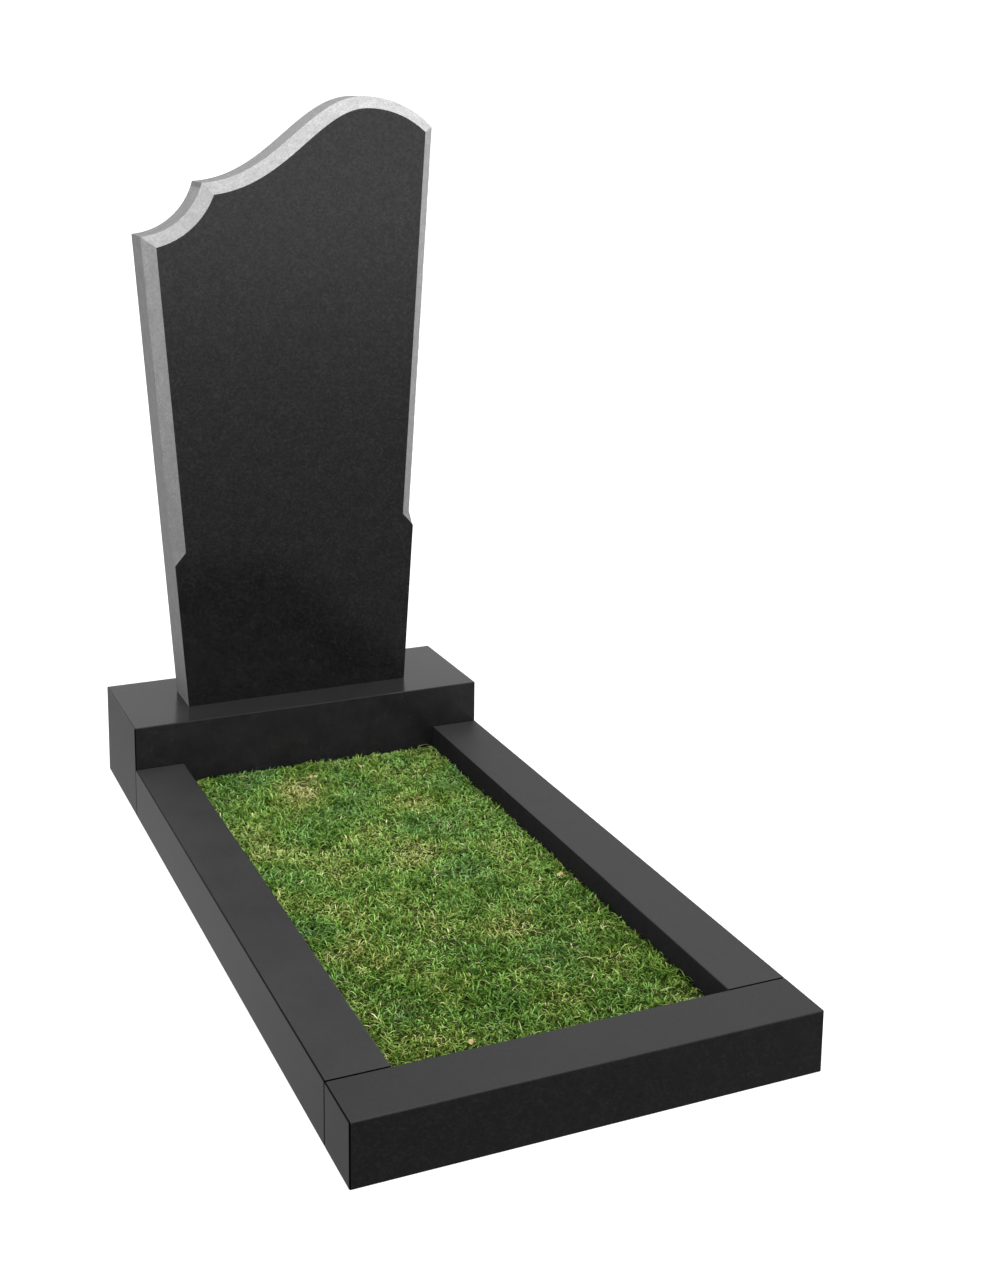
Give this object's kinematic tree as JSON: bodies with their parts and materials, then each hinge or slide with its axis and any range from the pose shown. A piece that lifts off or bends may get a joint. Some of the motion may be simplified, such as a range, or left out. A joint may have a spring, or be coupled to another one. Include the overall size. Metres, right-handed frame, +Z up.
{
  "type": "grave monument",
  "caption": "Upright stone slab with a swept, lopsided top on a plinth block, and a low stone kerb round a bed of turf; marks a grave.",
  "frame": {"origin": "on the ground, in the middle of the footprint", "axes": "+X to the right across the front, +Y from the front kerb to the plinth's back, +Z up"},
  "size_m": [0.6, 1.21, 1.1503],
  "materials": {
    "polished_granite": "polished",
    "hewn_granite": "matte",
    "turf": "matte"
  },
  "bodies": {
    "root": {"stele": "polished_granite", "plinth": "polished_granite", "kerb_left": "polished_granite", "kerb_right": "polished_granite", "kerb_front": "polished_granite", "turf_bed": "turf"}
  },
  "joints": []
}
